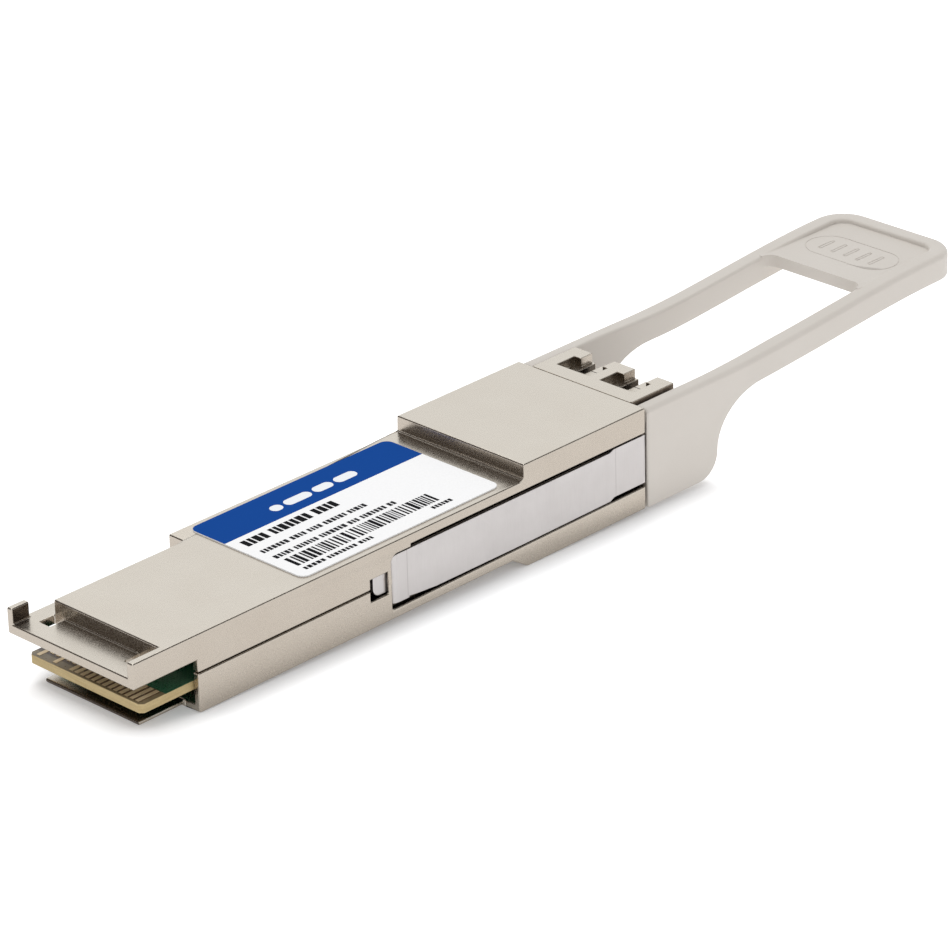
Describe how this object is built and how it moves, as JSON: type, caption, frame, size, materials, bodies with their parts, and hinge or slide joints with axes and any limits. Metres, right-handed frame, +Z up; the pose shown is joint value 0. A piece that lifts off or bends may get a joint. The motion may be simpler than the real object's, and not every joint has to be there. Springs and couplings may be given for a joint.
{
  "type": "optical transceiver module",
  "caption": "Pluggable optical transceiver: die-cast housing over a paddle card, duplex LC ports, sprung side slides and a pull-tab release.",
  "frame": {"origin": "on the module's centre line, at the height of the flat underside, in the plane of the head's front shoulder that stops against the cage's mouth", "axes": "+X along the module from the card edge towards the LC ports and pull tab, +Y across it towards the side with the keying cut, +Z up towards the label"},
  "size_m": [0.1254, 0.0184, 0.0132],
  "materials": {
    "nickel_plate": "fine-grained satin nickel plate on a zinc die casting",
    "stainless": "rolled stainless sheet",
    "tab_plastic": "pale warm grey moulded plastic with a fine texture",
    "laminate": "green solder mask on glass-epoxy laminate",
    "package_black": "moulded black chip package",
    "ceramic": "ceramic package with a metal lid",
    "ferrite": "pressed ferrite",
    "gap_pad": "soft thermal gap filler",
    "gold_plate": "gold-plated metal package",
    "barrel_steel": "turned stainless steel",
    "zirconia": "polished white ceramic sleeve",
    "flex_film": "amber polyimide flexible circuit",
    "label_film": "satin printed film label"
  },
  "bodies": {
    "housing": {"upper_housing": "nickel_plate", "lower_housing": "nickel_plate", "lc_receptacle": "nickel_plate", "circuit_board": "laminate", "retimer_chip": "package_black", "driver_chip": "package_black", "microcontroller_chip": "package_black", "clock_oscillator": "ceramic", "inductor_near": "ferrite", "inductor_far": "ferrite", "retimer_thermal_pad": "gap_pad", "tosa_thermal_pad": "gap_pad", "rosa_thermal_pad": "gap_pad", "tosa_package": "gold_plate", "rosa_package": "gold_plate", "tosa_barrel": "barrel_steel", "rosa_barrel": "barrel_steel", "tosa_sleeve": "zirconia", "rosa_sleeve": "zirconia", "tosa_flex": "flex_film", "rosa_flex": "flex_film", "barrel_clamp": "stainless", "screw_front_near": "barrel_steel", "screw_front_far": "barrel_steel", "screw_rear_near": "barrel_steel", "screw_rear_far": "barrel_steel", "top_label": "label_film", "slider_spring_near": "barrel_steel", "slider_spring_far": "barrel_steel"},
    "release": {"pull_tab": "tab_plastic", "slider_near": "stainless", "slider_far": "stainless"}
  },
  "joints": [
    {"name": "release_slide", "type": "slide", "parent": "housing", "child": "release", "axis": [1, 0, 0], "range_m": [0, 0.0026], "stiffness_N_per_m": 900, "springref_m": -0.0015, "deforming": ["slider_spring_near", "slider_spring_far"]}
  ]
}
